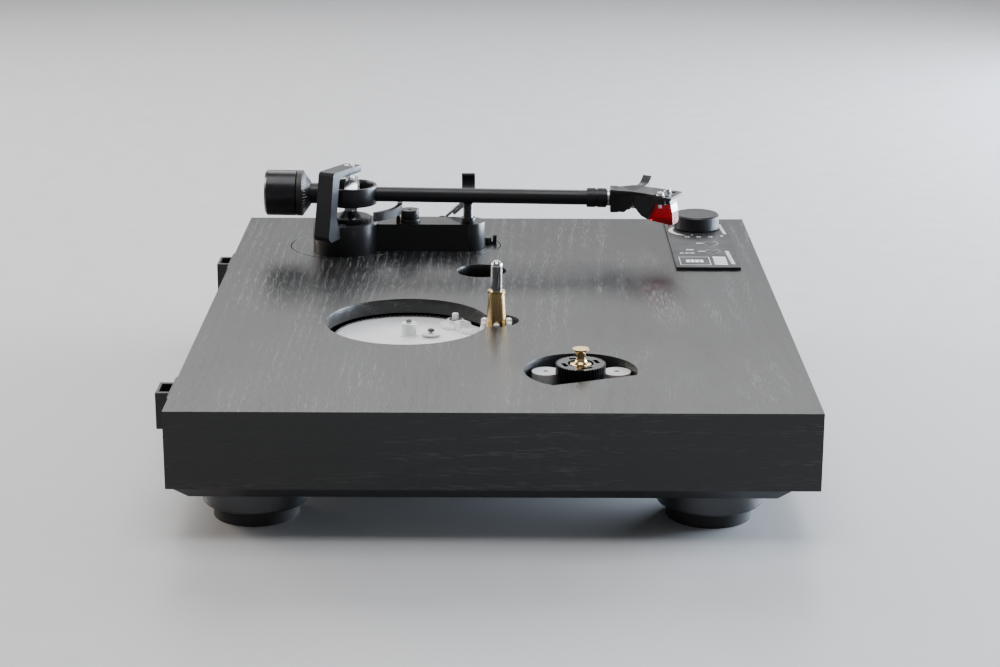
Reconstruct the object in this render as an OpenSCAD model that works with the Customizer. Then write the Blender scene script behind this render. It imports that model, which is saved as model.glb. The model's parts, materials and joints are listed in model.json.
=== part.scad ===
// Belt-drive turntable with an automatic arm, shown with its platter lifted off.
// Millimetres. +X is the turntable's right, -Y its front, +Z up. The origin is on the
// surface it stands on, under the middle of its outline.

/* [Plinth] */
// Width of the plinth, left to right
plinth_w = 435; // [430:1:450]
// Depth of the plinth, front to back
plinth_d = 353; // [350:1:365]
// Height of the plinth's sides
plinth_h = 44; // [42:1:50]
// Thickness of the top panel
panel_t = 9; // [8:0.5:9.5]
// Thickness of the side walls
wall_t = 22; // [21:0.5:23]
// Height of the plinth's top above the surface it stands on
deck_z = 75; // [74:1:82]

/* [Base and feet] */
// How far the base cover hangs below the plinth
base_drop = 9; // [8:0.2:10]
// Diameter of a foot
foot_d = 60; // [56:0.5:62]
// Diameter of a foot's rubber pad
pad_d = 48; // [40:1:50]

/* [Deck openings] */
// Radius of the large access opening over the cam wheel
well_r = 49.2; // [49:0.1:50]
// Radius of the opening round the spindle
spindle_hole_r = 13.7; // [12:0.1:15]
// Radius of the small round opening
small_hole_r = 16.2; // [14:0.1:18]
// Radius of the motor's opening
motor_hole_r = 32.3; // [32:0.1:34]
// Distance from that opening's centre to its flat side
motor_flat = 19.7; // [18.5:0.1:22]

/* [Spindle and cam wheel] */
// Diameter of the record spindle
spindle_d = 7.15; // [7.1:0.01:7.2]
// Height of the spindle's tip above the deck
spindle_top = 37.9; // [35:0.1:40]
// Diameter of the brass cone at its top
cone_top_d = 9.8; // [9:0.1:11]
// Diameter of the brass cone at its base
cone_base_d = 12.7; // [12:0.1:14]
// Height of the brass cone's top above the deck
cone_top = 19; // [17:0.1:22]
// Gear module of the pinion and the cam wheel
gear_module = 0.9; // [0.9:0.01:0.9]
// Teeth on the pinion
pinion_teeth = 19; // [19:1:19]
// Teeth on the cam wheel
wheel_teeth = 101; // [101:1:101]

/* [Controls] */
// Diameter of the speed knob
knob_d = 31.6; // [28:0.2:33]
// Height of the speed knob
knob_h = 9.9; // [8:0.1:12]
// Diameter of the start and stop buttons
button_d = 8.8; // [8:0.1:9]
// Thickness of the control plate
control_t = 2; // [1.6:0.1:2.4]

/* [Tonearm] */
// Height of the arm's base above the deck
arm_base_h = 20.5; // [20:0.1:21]
// Radius of the round part of the arm's base
arm_base_r = 22; // [21.5:0.1:22]
// Height of the arm's tilt axis above the deck
pivot_z = 38.8; // [38.6:0.1:39]
// How far the arm droops forward when it lies on its rest, in degrees
droop = 0.73; // [0.6:0.01:0.9]
// Diameter of the arm tube
tube_d = 10; // [9:0.1:10]
// Length of the headshell
head_len = 47.6; // [47:0.2:49]
// Width of the headshell at its tip
head_w = 23.4; // [22.6:0.2:24.2]
// Offset angle of the headshell, in degrees
head_offset = 26; // [22:0.5:27]
// Diameter of the counterweight
weight_d = 30.6; // [29:0.2:31]

/* [Hinge sockets] */
// Width of a socket
hinge_w = 20; // [19:0.5:22]
// How far a socket stands out behind the plinth
hinge_reach = 10; // [10:0.5:11]
// Height of a socket
hinge_h = 21; // [20:0.5:22]

/* [Hidden] */
$fn = 64;

// Colours
veneer_black = [0.10, 0.10, 0.10];
satin_black = [0.07, 0.07, 0.08];
plastic_black = [0.05, 0.05, 0.05];
plastic_white = [0.92, 0.93, 0.93];
gear_white = [0.95, 0.95, 0.96];
bright_steel = [0.78, 0.79, 0.80];
zinc_grey = [0.55, 0.56, 0.58];
warm_brass = [0.78, 0.62, 0.32];
stylus_red = [0.70, 0.03, 0.05];
board_green = [0.05, 0.28, 0.14];
rubber_black = [0.04, 0.04, 0.04];

// The deck frame: the plinth's top, with its origin at the plinth's middle
plinth_y = -hinge_reach / 2;
back_y = plinth_d / 2;
eps = 0.01;
loose = 0.06;      // radial clearance of a turning fit
gap = 0.3;         // clearance between bodies that pass each other

// Places on the deck, from the plinth's middle
spindle_at = [-43, -1];
well_at = [-44.6, 53.1];
small_hole_at = [72.6, 9.4];
motor_hole_at = [-142, -49];
motor_at = [-140, -49];
motor_flat_turn = 22.2;
arm_at = [127.6, 102.2];      // the round part of the arm's base
pivot_at = [127.6, 98.8];     // the upright axis that the arm swings about
rest_at = [127.6, 19];
control_at = [139.25, -140.2];
control_w = 126.5;
control_d = 42.4;
knob_at = [184, -140.9];
start_at = [140.5, -147];
stop_at = [118.6, -146.5];
button_hole_r = button_d / 2 + 0.3;
hinge_left_x = -167;
hinge_right_x = 108;
hinge_top = -3;
feet_at = [[-170, -121], [170, -121], [-170, 133], [170, 133]];

// Base cover
base_z = -plinth_h - base_drop;
foot_h = 13;
base_screw_at = [for (x = [-200, 200], y = [-146, 6, 157]) [x, y]];
rear_screw_at = [for (x = [-96, 96]) [x, 160]];
all_base_screws = concat(base_screw_at, rear_screw_at);

// Gear train
pinion_r = gear_module * pinion_teeth / 2;
wheel_r = gear_module * wheel_teeth / 2;
gear_centres = pinion_r + wheel_r;
wheel_bearing = 8.2;
wheel_at = spindle_at + gear_centres * [sin(wheel_bearing), cos(wheel_bearing)];
wheel_top = -12;
wheel_t = 5;
hub_r = 4.6;
hub_top = -4;
cam_axle_r = 2;
pawl_at = [-15.5, 24.6];
clip_stud_at = [-37, 39];
plate_top = -21;
plate_t = 2;
shaft_r = 3;
bearing_r = shaft_r + 0.04;
bearing_foot = -40;

// Motor
motor_can_r = 17;
grommet_at = [[-130, -29.5], [-130, -70]];
bracket_top = -11;
bracket_posts = [for (a = [62, 178, 298]) motor_hole_at + 37 * [cos(a), sin(a)]];

// Connector panel on the rear wall
conn_at = [-30, -24];
conn_w = 118;
conn_h = 26;
conn_t = 2;
phono_dx = [-44, -30];
ground_dx = -12;
switch_dx = 8;
inlet_dx = 38;

// Tonearm
bar_x = 133.8;
bar_w = 22.5;
bar_h = 18.8;
bridge_dir = 151;
bridge_w = 11.8;
bridge_top = 58.7;
gimbal_r = 18;
gimbal_in = 16;
gimbal_low = -6;
gimbal_high = 6.4;
yoke_r = 14.8;
yoke_top = 50.6;
yoke_low = 30.6;
dial_r = 14.3;
cone_foot_r = 11.2;
cone_high = 27.2;
collar_start = 159.9;
head_start = 175.8;
head_mid = 1.3;
shell_top = 7.1;
shell_t = 2;
cart_screw_u = 38.4;
cart_screw_dx = 6.35;
stub_r = 7;
weight_front = 35.5;
weight_back = 57.1;
lift_at = [129.8, 58.7];
lift_top = 27.6;
bench_r = 33.7;
bench_low = 26.7;
bench_high = 32.5;
bench_pin_at = [125.3, 66.4];
cue_at = [148.6, 37, 16.2];
clip_pivot = [135.4, 19, 36];
selector_at = [142.5, 5.6];

// ---- frames and shapes that repeat ----

module on_deck() translate([0, plinth_y, deck_z]) children();

module at(p, z = 0) translate([p[0], p[1], z]) children();

// A cylinder from height low to height high
module post(r, low, high) translate([0, 0, low]) cylinder(r = r, h = high - low);

// A box centred on x and y, from height low to height high
module block(w, d, low, high) translate([-w / 2, -d / 2, low]) cube([w, d, high - low]);

// A box with rounded upright edges
module round_block(w, d, low, high, r) {
    block(w - 2 * r, d, low, high);
    block(w, d - 2 * r, low, high);
    for (x = [-1, 1], y = [-1, 1]) translate([x * (w / 2 - r), y * (d / 2 - r), 0]) post(r, low, high);
}

module rod_x(r, from, to) translate([from, 0, 0]) rotate([0, 90, 0]) cylinder(r = r, h = to - from);

module rod_y(r, from, to) translate([0, to, 0]) rotate([90, 0, 0]) cylinder(r = r, h = to - from);

// A side outline in (forward, up), drawn out sideways to width w
module side_shape(points, w) rotate([90, 0, -90]) linear_extrude(height = w, center = true) polygon(points);

// Points along an arc, from angle a0 to a1
function arc(c, r, a0, a1, n = 8) =
    [for (i = [0 : n]) let (a = a0 + (a1 - a0) * i / n) c + r * [cos(a), sin(a)]];

// A gear outline with straight-flanked teeth, one tooth centred on +X
function tooth(i, n, r) =
    let (
        pitch = 360 / n,
        half = 90 / n - 0.14 / r * 180 / PI,
        lean = 14 / n,
        root = r - 1.12, tip = r + 0.8
    )
    [for (p = [[-half - lean, root], [-half + lean, tip], [half - lean, tip], [half + lean, root]])
        p[1] * [cos(i * pitch + p[0]), sin(i * pitch + p[0])]];
function gear_points(n, r) = [for (i = [0 : n - 1]) each tooth(i, n, r)];

// A ribbed drum: n square ribs on a round core
module ribbed_drum(r_core, r_rib, n, low, high) {
    rib = PI * r_rib / n;
    translate([0, 0, low]) linear_extrude(height = high - low) polygon([
        for (i = [0 : n - 1], p = [[r_core, -0.5], [r_rib, -0.42], [r_rib, 0.42], [r_core, 0.5]])
            let (a = i * 360 / n + p[1] * rib / r_rib * 180 / PI) p[0] * [cos(a), sin(a)]
    ]);
}

// ---- plinth, base and feet ----

module motor_opening(r, flat, low, high) {
    at(motor_hole_at) intersection() {
        post(r, low, high);
        rotate([0, 0, motor_flat_turn]) translate([-flat, -r - 5, low])
            cube([2 * r + 20, 2 * r + 10, high - low]);
    }
}

module arm_board_plan(grow, low, high) {
    at([140, 103]) post(37 + grow, low, high);
    at([140, 25]) post(27.6 + grow, low, high);
    translate([127.6, 61, 0]) block(18 + 2 * grow, 40, low, high);
}

module plinth() {
    color(veneer_black) on_deck() difference() {
        block(plinth_w, plinth_d, -plinth_h, 0);
        block(plinth_w - 2 * wall_t, plinth_d - 2 * wall_t, -plinth_h - 1, -panel_t);
        at(well_at) post(well_r, -panel_t - 1, 1);
        at(spindle_at) post(spindle_hole_r, -panel_t - 1, 1);
        at(small_hole_at) post(small_hole_r, -panel_t - 1, 1);
        motor_opening(motor_hole_r, motor_flat, -panel_t - 1, 1);
        arm_board_plan(0.7, -panel_t - 1, 1);
        at([146, -141]) block(104, 28, -panel_t - 1, 1);
        translate([conn_at[0], back_y, conn_at[1]]) {
            translate([0, (1 - conn_t) / 2, 0])
                block(conn_w + 0.4, conn_t + 1, -conn_h / 2 - 0.2, conn_h / 2 + 0.2);
            translate([0, -(wall_t + 1) / 2, 0])
                block(conn_w - 12, wall_t + 1, -conn_h / 2 + 4, conn_h / 2 - 4);
        }
        for (x = [hinge_left_x, hinge_right_x], dx = [-14.5, 14.5])
            translate([x + dx, back_y, hinge_top - 9.5]) rod_y(1.5, -11, 1);
        for (p = all_base_screws) at(p) post(1.7, -plinth_h - 1, -plinth_h + 11);
    }
}

// A slab whose four sides lean: the outline is [x, low y, high y] at each height
module leaning_slab(bottom, top, low, high) {
    intersection() {
        translate([0, 300, 0]) rotate([90, 0, 0]) linear_extrude(height = 600) polygon(
            [[-bottom[0], low], [bottom[0], low], [top[0], high], [-top[0], high]]);
        translate([-300, 0, 0]) rotate([90, 0, 90]) linear_extrude(height = 600) polygon(
            [[bottom[1], low], [bottom[2], low], [top[2], high], [top[1], high]]);
    }
}

module base_cover() {
    color(plastic_black) on_deck() difference() {
        leaning_slab([205, -155, 166], [215, -163, back_y - 1.5], base_z, -plinth_h);
        translate([0, 5, 0]) block(380, 290, base_z + 2.4, -plinth_h + 1);
        for (p = all_base_screws) at(p) {
            post(1.75, base_z - 1, -plinth_h + 1);
            post(3.4, base_z - 1, base_z + 2.2);
        }
        for (p = feet_at) at(p) post(2.6, base_z - 1, base_z + 4);
        for (i = [0 : 6]) translate([-140 + i * 7, -49, 0]) block(3, 44, base_z - 1, base_z + 3);
    }
}

module base_screws() {
    color(zinc_grey) on_deck() for (p = all_base_screws) at(p) {
        post(1.65, base_z + 2, -plinth_h + 9);
        difference() {
            post(3.2, base_z + 0.4, base_z + 2.2);
            block(4.2, 0.9, base_z, base_z + 1.2);
            block(0.9, 4.2, base_z, base_z + 1.2);
        }
    }
}

// A foot: a thick disc with a rounded lower rim and a recess for its pad
module foot(i) {
    r = foot_d / 2;
    color(zinc_grey) on_deck() at(feet_at[i], base_z) {
        rotate_extrude() polygon(concat(
            [[0, 0], [r - 0.6, 0], [r, -0.6]],
            arc([r - 1.5, -foot_h + 1.5], 1.5, 0, -90, 5),
            [[pad_d / 2 + 0.4, -foot_h], [pad_d / 2 + 0.4, 2.5 - foot_h], [0, 2.5 - foot_h]]));
        post(2.5, -1, 2.3);
    }
}

module foot_front_left() foot(0);
module foot_front_right() foot(1);
module foot_rear_left() foot(2);
module foot_rear_right() foot(3);

module foot_pads() {
    color(rubber_black) on_deck() for (p = feet_at) at(p)
        post(pad_d / 2, -deck_z, base_z - foot_h + 2.5);
}

// ---- hinge sockets on the rear wall ----

module hinge_socket(x) {
    color(plastic_black) on_deck() translate([x, back_y, hinge_top]) difference() {
        union() {
            translate([0, 1.25, 0]) block(38, 2.5, -hinge_h + 2, 0);
            translate([0, hinge_reach / 2, 0]) block(hinge_w, hinge_reach, -hinge_h, 0);
        }
        translate([0, hinge_reach / 2 + 0.4, 0]) block(hinge_w - 6, hinge_reach - 4.4, -hinge_h + 2.5, 1);
        for (dx = [-14.5, 14.5]) translate([dx, 0, -9.5]) rod_y(1.7, -1, 4);
    }
}

module hinge_socket_left() hinge_socket(hinge_left_x);
module hinge_socket_right() hinge_socket(hinge_right_x);

module hinge_screws() {
    color(zinc_grey) on_deck() for (x = [hinge_left_x, hinge_right_x], dx = [-14.5, 14.5])
        translate([x + dx, back_y, hinge_top - 9.5]) {
            rod_y(1.45, -10, 2.6);
            difference() {
                rod_y(3, 2.5, 4.1);
                translate([0, 4, 0]) cube([0.9, 1.6, 4], center = true);
                translate([0, 4, 0]) cube([4, 1.6, 0.9], center = true);
            }
        }
}

// ---- connectors on the rear wall ----

module on_panel(dx) on_deck() translate([conn_at[0] + dx, back_y, conn_at[1]]) children();

module connector_panel() {
    color(plastic_black) difference() {
        on_panel(0) translate([0, -conn_t / 2, 0]) block(conn_w, conn_t, -conn_h / 2, conn_h / 2);
        for (dx = phono_dx) on_panel(dx) rod_y(4.3, -5, 1);
        on_panel(ground_dx) rod_y(2.1, -5, 1);
        on_panel(switch_dx) block(10, 9, -2.2, 2.2);
        on_panel(inlet_dx) rod_y(4.1, -5, 1);
    }
}

module phono_sockets() {
    color(bright_steel) for (dx = phono_dx) on_panel(dx) difference() {
        union() {
            rod_y(4.15, -12, 8.5);
            rod_y(5.6, -12, -conn_t);
            rod_y(5.4, 0, 1);
        }
        rod_y(1.6, -2, 9);
    }
}

module ground_terminal() {
    color(bright_steel) on_panel(ground_dx) {
        rod_y(2, -9, 8);
        rod_y(4.4, 0, 1);
        rotate([-90, 0, 0]) ribbed_drum(4.2, 4.8, 20, 2.6, 7);
    }
}

module power_inlet() {
    color(plastic_black) on_panel(inlet_dx) {
        difference() {
            union() {
                rod_y(4, -conn_t - eps, 0);
                translate([0, -9, 0]) block(10, 14, -6, 6);
            }
            rod_y(2.75, -11, 1);
        }
        rod_y(1, -11.5, -1);
    }
}

module power_switch() {
    color(plastic_white) on_panel(switch_dx - 1.5) {
        translate([0, -1.4, 0]) block(4, 6, -1.9, 1.9);
        translate([0, -4, 0]) block(7.5, 2, -3.4, 3.4);
    }
}

// ---- mechanism under the deck ----

module mechanism_plate() {
    plate_at = [-22, 31];
    color(satin_black) on_deck() difference() {
        at(plate_at) {
            round_block(164, 156, plate_top - plate_t, plate_top, 8);
            for (x = [-74, 74], y = [-70, 70]) translate([x, y, 0]) post(5, plate_top - 1, -panel_t);
        }
        at(spindle_at) post(8.2, plate_top - 5, plate_top + 1);
        at(wheel_at) post(cam_axle_r, plate_top - 5, plate_top + 1);
    }
}

module bearing_housing() {
    color(bright_steel) on_deck() at(spindle_at) difference() {
        union() {
            post(8, bearing_foot, plate_top + 0.5);
            post(14, plate_top, plate_top + 1.8);
        }
        post(bearing_r, bearing_foot + 3, plate_top + 3);
    }
}

module cam_axle() {
    color(zinc_grey) on_deck() at(wheel_at) {
        post(cam_axle_r, plate_top - plate_t, hub_top + 1.2);
        post(4, plate_top - plate_t - 1.6, plate_top - plate_t);
    }
}

module spindle_shaft() {
    r = spindle_d / 2;
    dome = 3.6;
    color(bright_steel) on_deck() at(spindle_at) rotate_extrude() polygon(concat(
        [[0, bearing_foot + 3.3], [shaft_r - 0.6, bearing_foot + 3.3], [shaft_r, bearing_foot + 3.9],
         [shaft_r, cone_top], [r, cone_top]],
        [for (i = [0 : 8]) let (a = 90 * i / 8) [r * cos(a), spindle_top - dome + dome * sin(a)]]));
}

module spindle_cone() {
    color(warm_brass) on_deck() at(spindle_at) rotate_extrude() polygon([
        [shaft_r, -4], [cone_base_d / 2, -4], [cone_top_d / 2, cone_top - 1.6],
        [cone_top_d / 2 + 0.4, cone_top - 1.4], [cone_top_d / 2 + 0.4, cone_top], [shaft_r, cone_top]]);
}

module drive_pinion() {
    color(plastic_white) on_deck() at(spindle_at) difference() {
        union() {
            rotate([0, 0, 90 - wheel_bearing]) translate([0, 0, -18.4]) linear_extrude(height = 12.5)
                polygon(gear_points(pinion_teeth, pinion_r));
            post(10, -6, -4);
            for (i = [0 : 5]) rotate([0, 0, 60 * i]) translate([8.8, 0, 0]) block(2.2, 3.4, -4.5, 0);
        }
        post(shaft_r, -20, 1);
    }
}

module cam_wheel() {
    color(gear_white) on_deck() at(wheel_at) {
        difference() {
            union() {
                rotate([0, 0, -90 - wheel_bearing + 180 / wheel_teeth]) translate([0, 0, wheel_top - wheel_t])
                    linear_extrude(height = wheel_t) polygon(gear_points(wheel_teeth, wheel_r));
                post(hub_r, wheel_top - 1, hub_top);
                post(hub_r + 1.6, wheel_top - 1, wheel_top + 0.8);
                post(7, plate_top + gap, wheel_top - wheel_t + 1);
                post(39, wheel_top - 1, wheel_top + 0.3);
            }
            post(cam_axle_r + loose, plate_top - 1, hub_top + 1);
            difference() {
                post(38.2, wheel_top - wheel_t - 1, wheel_top - 2.2);
                post(9, wheel_top - wheel_t - 2, wheel_top - 2);
                for (a = [0 : 60 : 120]) rotate([0, 0, a])
                    block(90, 2, wheel_top - wheel_t - 2, wheel_top - 2);
            }
        }
        translate([pawl_at[0] - wheel_at[0], pawl_at[1] - wheel_at[1], 0]) {
            post(1.6, wheel_top, -6.5);
            post(4.9, -8.3, -7.3);
            post(2, -7.4, -3.8);
        }
        translate([clip_stud_at[0] - wheel_at[0], clip_stud_at[1] - wheel_at[1], 0]) {
            post(3.4, wheel_top, wheel_top + 1.4);
            post(5.8, wheel_top + 1.4, wheel_top + 2.2);
            post(1.1, wheel_top, -8.4);
        }
    }
}

// The trip pawl pivots on the cam wheel and reaches towards the pinion
module trip_pawl() {
    color(plastic_white) on_deck() at(pawl_at) difference() {
        union() {
            post(9.6, -11.5, -10);
            post(5, -10.7, -8.6);
            rotate([0, 0, 217.3]) {
                translate([6, 0, 0]) block(16, 12, -11.5, -10);
                translate([15.4, 0, 0]) post(6.5, -11.5, -10);
                translate([17, -1.5, 0]) post(3.4, -11, -9.5);
                difference() {
                    translate([9.7, -2.4, 0]) block(6, 6.6, -11, -6.1);
                    translate([10.9, -2.4, 0]) block(6, 4.2, -12, -5);
                }
            }
        }
        post(1.6 + loose, -12, -8);
    }
}

// ---- motor ----

module motor_bracket() {
    color(satin_black) on_deck() {
        difference() {
            union() {
                at(motor_hole_at) post(41, bracket_top - 2, bracket_top);
                for (p = bracket_posts) at(p) post(3.8, bracket_top - 1, -panel_t);
            }
            at(motor_at) post(4.2, bracket_top - 5, bracket_top + 1);
        }
    }
}

module motor_grommets() {
    color(plastic_white) on_deck() for (p = grommet_at) at(p) difference() {
        post(8, bracket_top, -4.4);
        post(1.6, -8, -3);
    }
}

module motor_body() {
    color(zinc_grey) on_deck() at(motor_at) difference() {
        union() {
            post(motor_can_r, -36, bracket_top - 2);
            post(4.1, -20, 1);
        }
        post(1 + loose, -30, 2);
    }
}

module motor_mount_ring() {
    color(plastic_black) on_deck() at(motor_at) difference() {
        union() {
            ribbed_drum(12.4, 13.2, 44, bracket_top, -3.4);
            post(12, -4, -2);
            ribbed_drum(13.3, 14.25, 48, -2.6, 3.5);
        }
        post(4.1, bracket_top - 1, 4);
        post(7.4, 1.4, 4);
        for (a = [20 : 90 : 290]) rotate([0, 0, a]) translate([9.6, 0, 0]) block(2.6, 6.4, 0.6, 4);
    }
}

module motor_pulley() {
    color(warm_brass) on_deck() at(motor_at) rotate_extrude() polygon(concat(
        [[0, -24], [1, -24], [1, 2.4], [6, 2.4], [6, 3.1]],
        [for (i = [0 : 5]) let (t = i / 5) [6 - 3.2 * sin(90 * t), 3.4 + 3.4 * (1 - cos(90 * t))]],
        [[2.8, 10.2], [3.4, 11], [4.65, 11.3], [4.65, 12.2], [0, 12.2]]));
}

// ---- controls ----

module control_plate() {
    legs = [[100, -152], [166, -152], [100, -131], [166, -131]];
    color(satin_black) on_deck() difference() {
        union() {
            at(control_at) block(control_w, control_d, 0, control_t);
            for (p = legs) at(p) post(2.4, -16.4, 0.5);
        }
        at(knob_at) post(4.5, -1, 3);
        at(start_at) post(button_hole_r, -1, 3);
        at(stop_at) post(button_hole_r, -1, 3);
    }
}

module circuit_board() {
    color(board_green) on_deck() {
        difference() {
            at([146, -141]) block(98, 26, -18, -16.4);
            at(knob_at) post(3.6, -19, -15);
        }
        for (p = [start_at, stop_at]) at(p) {
            block(6.2, 6.2, -16.5, -13.2);
            post(1.6, -13.3, -12.2);
        }
    }
}

module speed_switch() {
    color(zinc_grey) on_deck() at(knob_at) difference() {
        union() {
            round_block(20, 18, -16.4, -8, 2);
            post(4.2, -8.1, -1.5);
        }
        post(3 + loose, -15, 0);
    }
}

module speed_knob() {
    r = knob_d / 2;
    low = control_t + 0.5;
    high = control_t + 0.4 + knob_h;
    color(satin_black) on_deck() at(knob_at) rotate_extrude() polygon([
        [0, -14.6], [3, -14.6], [3, low + 0.6], [r - 2, low + 0.6], [r - 1.8, low], [r - 0.3, low],
        [r, low + 0.3], [r - 0.3, high - 0.9], [r - 1.2, high], [0, high]]);
}

module push_button(p) {
    color(satin_black) on_deck() at(p) {
        post(button_d / 2, -3.2, control_t + 0.15);
        post(2, -10.6, -3.1);
    }
}

module start_button() push_button(start_at);
module stop_button() push_button(stop_at);

// ---- tonearm base ----

module arm_board() {
    color(veneer_black) on_deck() difference() {
        union() {
            arm_board_plan(0, -panel_t, 0);
            arm_board_plan(5, -panel_t - 2.5, -panel_t);
        }
        at(selector_at) post(1.2 + loose, -9, 1);
        at(pivot_at) post(5, -13, 1);
    }
}

module arm_base() {
    color(satin_black) on_deck() difference() {
        union() {
            at(arm_at) post(arm_base_r, 0, arm_base_h);
            translate([bar_x, rest_at[1], 0]) post(bar_w / 2, 0, bar_h);
            translate([bar_x, (arm_at[1] + rest_at[1]) / 2, 0])
                block(bar_w, arm_at[1] - rest_at[1], 0, bar_h);
        }
        at(pivot_at) post(5, -1, arm_base_h + 1);
        at(bench_pin_at) post(1.3 + loose, 4, bar_h + 1);
        translate([bar_x, cue_at[1], cue_at[2]]) rod_x(1.5 + loose, 3, bar_w / 2 + 1);
    }
}

// An L bracket: its leg leans out beside the arm's base, and it reaches over the gimbal
module arm_bridge() {
    wall = 7.8;
    leg_t = 5;
    function out(z) = 38.2 - z / 6;
    outline = concat(
        arc([out(16.5) - 4, 16.5], 4, -90, 0, 6),
        arc([out(bridge_top - 3) - 3, bridge_top - 3], 3, 0, 90, 5),
        [[-5, bridge_top - 0.4], [-5, bridge_top - leg_t]],
        arc([out(50) - wall - 3, bridge_top - leg_t - 3], 3, 90, 0, 4),
        [[out(27) - wall, 27], [24, 21.4], [15.2, 21.4], [15.2, 20.4], [19, 13]]);
    color(satin_black) on_deck() difference() {
        at(pivot_at) rotate([0, 0, bridge_dir + 90]) side_shape(outline, bridge_w);
        at(pivot_at) post(3.55, bridge_top - leg_t - 1, bridge_top + 1);
        at(pivot_at) post(dial_r + 0.4, arm_base_h - 1, 24.6);
        at(arm_at) post(arm_base_r, 0, arm_base_h);
        at(pivot_at) stop_pin();
    }
}

// The pin that limits the arm's swing
module stop_pin() rotate([0, 0, bridge_dir]) translate([0, 0, 30]) rod_x(0.9, 19.4, 28);

module arm_screws() {
    color(bright_steel) on_deck() at(pivot_at) {
        difference() {
            post(3.5, bridge_top - 5, bridge_top);
            block(9, 1, bridge_top - 1.2, bridge_top + 1);
        }
        post(1, 49.3, bridge_top - 4);
        stop_pin();
    }
}

module pivot_cone() {
    color(satin_black) on_deck() at(pivot_at) difference() {
        rotate_extrude() polygon([[0, arm_base_h], [cone_foot_r, arm_base_h], [cone_foot_r, 23.4],
            [8.6, 23.8], [4, cone_high], [0, cone_high]]);
        post(1.6 + loose, 22, cone_high + 1);
    }
}

module antiskate_dial() {
    color(satin_black) on_deck() at(pivot_at) difference() {
        union() {
            ribbed_drum(dial_r - 0.5, dial_r, 52, arm_base_h + gap, 22.6);
            post(dial_r - 0.7, 22.5, 23.4);
        }
        post(cone_foot_r + loose, arm_base_h - 1, 25);
    }
}

// ---- gimbal: the yoke turns about the upright axis and carries the ring's pivots ----

// The yoke's upright outline, from leg to leg, shrunk by t
module yoke_plan(t) polygon(concat(
    [[t - yoke_r, yoke_low + t], [yoke_r - t, yoke_low + t]],
    [for (i = [0 : 24]) let (a = i * 7.5)
        [(yoke_r - t) * cos(a), pivot_z + (yoke_top - pivot_z - t) * sin(a)]]));

module gimbal_yoke() {
    half = 4.3;
    color(bright_steel) on_deck() at(pivot_at) difference() {
        union() {
            intersection() {
                translate([0, 6, 0]) rotate([90, 0, 0]) linear_extrude(height = 14) difference() {
                    yoke_plan(0);
                    yoke_plan(2);
                }
                post(yoke_r, yoke_low, yoke_top);
                translate([0, -1.4, 0]) union() {
                    block(2 * yoke_r, 2 * half, yoke_low, yoke_top - half);
                    translate([0, 0, yoke_top - half]) rod_x(half, -yoke_r, yoke_r);
                }
            }
            post(3, yoke_top - 2.6, yoke_top);
            rotate_extrude() polygon([[0, 23], [1.6, 23], [1.6, 27.6], [1.9, 27.6], [3.7, 29.9],
                [3.7, yoke_low + 2], [0, yoke_low + 2]]);
        }
        translate([0, 0, pivot_z]) rod_x(1.6, -yoke_r - 1, yoke_r + 1);
        post(1 + loose, 49.1, 54);
    }
}

module gimbal_pivots() {
    color(bright_steel) on_deck() at(pivot_at, pivot_z) for (s = [0, 180]) rotate([0, 0, s])
        rod_x(1.6, yoke_r - 2.6, gimbal_r - 0.9);
}

// ---- arm: tilts in the gimbal. Its frame has its origin on the tilt axis, and -Y points forward ----

module on_arm() on_deck() at(pivot_at, pivot_z) rotate([droop, 0, 0]) children();

module gimbal_ring() {
    color(satin_black) on_arm() difference() {
        post(gimbal_r, gimbal_low, gimbal_high);
        post(gimbal_in, gimbal_low - 1, gimbal_high + 1);
        rod_x(1.6 + loose, 0.8 - gimbal_r, gimbal_r - 0.8);
    }
}

module rear_stub() {
    color(satin_black) on_arm() difference() {
        rod_y(stub_r, gimbal_in, weight_back - 5);
        post(gimbal_r, -stub_r - 1, stub_r + 1);
    }
}

module arm_tube() {
    color(satin_black) on_arm() difference() {
        rod_y(tube_d / 2, -collar_start, -gimbal_in);
        rod_y(tube_d / 2 - 1, -collar_start - 1, -gimbal_r - 1);
        post(gimbal_r, -tube_d, tube_d);
    }
}

module locking_collar() {
    color(satin_black) on_arm() {
        rod_y(6.35, -collar_start - 6.2, -collar_start);
        rod_y(5.9, -collar_start - 7, -collar_start - 6);
        rod_y(6.35, -collar_start - 13.4, -collar_start - 6.9);
        rod_y(5.2, -head_start, -collar_start - 13);
    }
}

// The shell's frame: its origin is on the neck, and -Y points towards its tip
module on_shell() on_arm() translate([0, -head_start, 0]) rotate([0, 0, -head_offset]) children();

module headshell() {
    under = shell_top - shell_t;
    neck = 6.3;
    near = head_mid - head_w / 2;
    far = head_mid + head_w / 2;
    plan = [[-neck, -3.1], [-neck, -5], [-3.8, -17], [-4.4, -27], [-6.2, -34], [near, -head_len + 1.6],
        [near + 1, -head_len], [far - 1.2, -head_len], [far, -head_len + 1.2], [far + 2.4, -20],
        [far + 2.4, -10.5], [neck + 2, -5.4], [neck, -3], [neck, 0.5]];
    skirt = [[3.5, -8.4], [12, -7.8], [17.6, -2], [18.6, under + 0.1], [3.5, under + 0.1]];
    color(satin_black) {
        on_arm() translate([0, -head_start - 2.5, 0]) block(2 * neck, 5, -8.6, shell_top);
        on_shell() difference() {
            union() {
                translate([0, 0, under]) linear_extrude(height = shell_t) polygon(plan);
                for (s = [-1, 1]) translate([head_mid + s * 4.2, 0, 0]) side_shape(skirt, 1.6);
            }
            for (s = [-1, 1]) translate([head_mid + s * cart_screw_dx, -39, 0]) {
                block(2.7, 8, under - 1, shell_top + 1);
                for (e = [-4, 4]) translate([0, e, 0]) post(1.35, under - 1, shell_top + 1);
            }
        }
    }
}

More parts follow.
